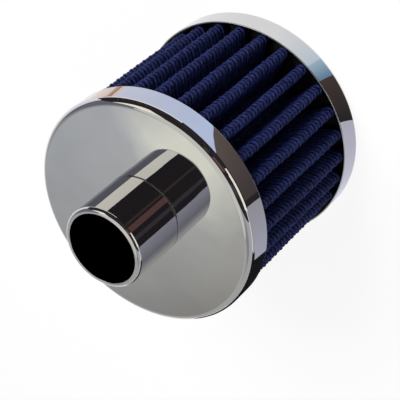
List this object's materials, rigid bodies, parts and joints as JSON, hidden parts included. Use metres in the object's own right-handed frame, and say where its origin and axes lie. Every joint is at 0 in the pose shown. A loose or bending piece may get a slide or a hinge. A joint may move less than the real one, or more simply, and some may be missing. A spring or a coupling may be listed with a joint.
{
  "type": "valve cover breather cap",
  "caption": "Push-in crankcase breather filter: a drum of pleated gauze between two chromed end caps, with a plain round neck that pushes into a valve cover grommet.",
  "frame": {"origin": "centre of the top cap's outer face, on which the part stands with its neck up", "axes": "+Z along the part's axis from the top cap towards the neck's mouth; X and Y across it, with a pleat's crest on +X"},
  "size_m": [0.0726, 0.0726, 0.0835],
  "materials": {
    "cap_chrome": "polished chrome plate on pressed steel",
    "neck_chrome": "polished chrome plate on steel tube",
    "media": "blue cotton gauze folded with a wire screen",
    "potting": "black cast compound, satin"
  },
  "bodies": {
    "root": {"base_cap": "cap_chrome", "neck_tube": "neck_chrome", "base_potting": "potting", "pleated_media": "media", "top_potting": "potting", "top_cap": "cap_chrome"}
  },
  "joints": []
}
